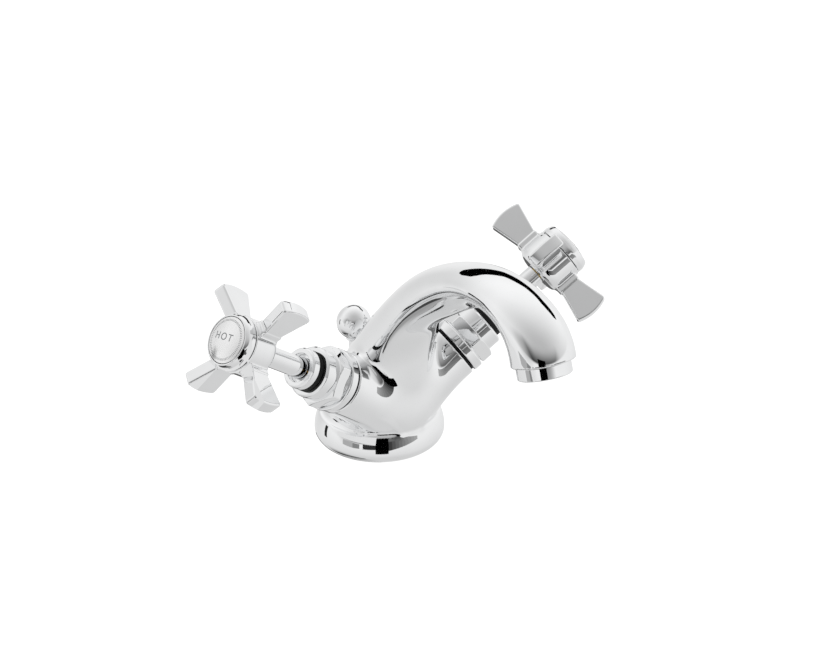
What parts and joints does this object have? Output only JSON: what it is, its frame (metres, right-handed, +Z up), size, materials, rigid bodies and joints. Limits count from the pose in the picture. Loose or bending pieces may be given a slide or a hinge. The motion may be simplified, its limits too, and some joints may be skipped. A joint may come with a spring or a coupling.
{
  "type": "bathroom mixer faucet",
  "caption": "Deck-mounted basin mixer with a swan-neck spout, hot and cold crosshead handles that turn, an aerator and a pop-up waste knob.",
  "frame": {"origin": "centre of the base on the deck plane, at the foot of the body", "axes": "+Z up out of the deck, -Y along the spout towards the user, +X towards the cold valve, the user's right"},
  "size_m": [0.1958, 0.1651, 0.1154],
  "materials": {
    "chrome": "polished",
    "index_metal": "satin",
    "brass": "machined",
    "steel": "brushed",
    "rubber": "matte",
    "ceramic": "lapped",
    "plastic": "moulded"
  },
  "bodies": {
    "tap_body": {"mixer_body": "chrome", "base_gasket": "rubber", "aerator_housing": "chrome", "aerator_seal": "rubber", "aerator_insert": "plastic", "aerator_screen": "plastic", "lift_rod_bush": "plastic", "hot_valve_bonnet": "chrome", "hot_bonnet_seal": "rubber", "hot_seat_seal": "rubber", "hot_fixed_disc": "ceramic", "cold_valve_bonnet": "chrome", "cold_bonnet_seal": "rubber", "cold_seat_seal": "rubber", "cold_fixed_disc": "ceramic"},
    "hot_control": {"hot_moving_disc": "ceramic", "hot_spindle": "brass", "hot_spindle_seal": "rubber", "hot_circlip": "steel", "hot_spindle_sleeve": "chrome", "hot_handle": "chrome", "hot_handle_screw": "steel", "hot_index_cap": "chrome", "hot_index_plate": "index_metal"},
    "cold_control": {"cold_moving_disc": "ceramic", "cold_spindle": "brass", "cold_spindle_seal": "rubber", "cold_circlip": "steel", "cold_spindle_sleeve": "chrome", "cold_handle": "chrome", "cold_handle_screw": "steel", "cold_index_cap": "chrome", "cold_index_plate": "index_metal"},
    "lift_control": {"lift_rod": "chrome", "lift_knob": "chrome"}
  },
  "joints": [
    {"name": "hot_handle_turn", "type": "hinge", "parent": "tap_body", "child": "hot_control", "pos_m": [-0.04894, -0.01602, 0.05417], "axis": [-0.8157, -0.1103, 0.5678], "range_deg": [0, 90]},
    {"name": "cold_handle_turn", "type": "hinge", "parent": "tap_body", "child": "cold_control", "pos_m": [0.04894, -0.01602, 0.05417], "axis": [0.8157, -0.1103, 0.5678], "range_deg": [-90, 0]},
    {"name": "lift_rod_slide", "type": "slide", "parent": "tap_body", "child": "lift_control", "axis": [0, 0, 1], "range_m": [0, 0.022]}
  ]
}
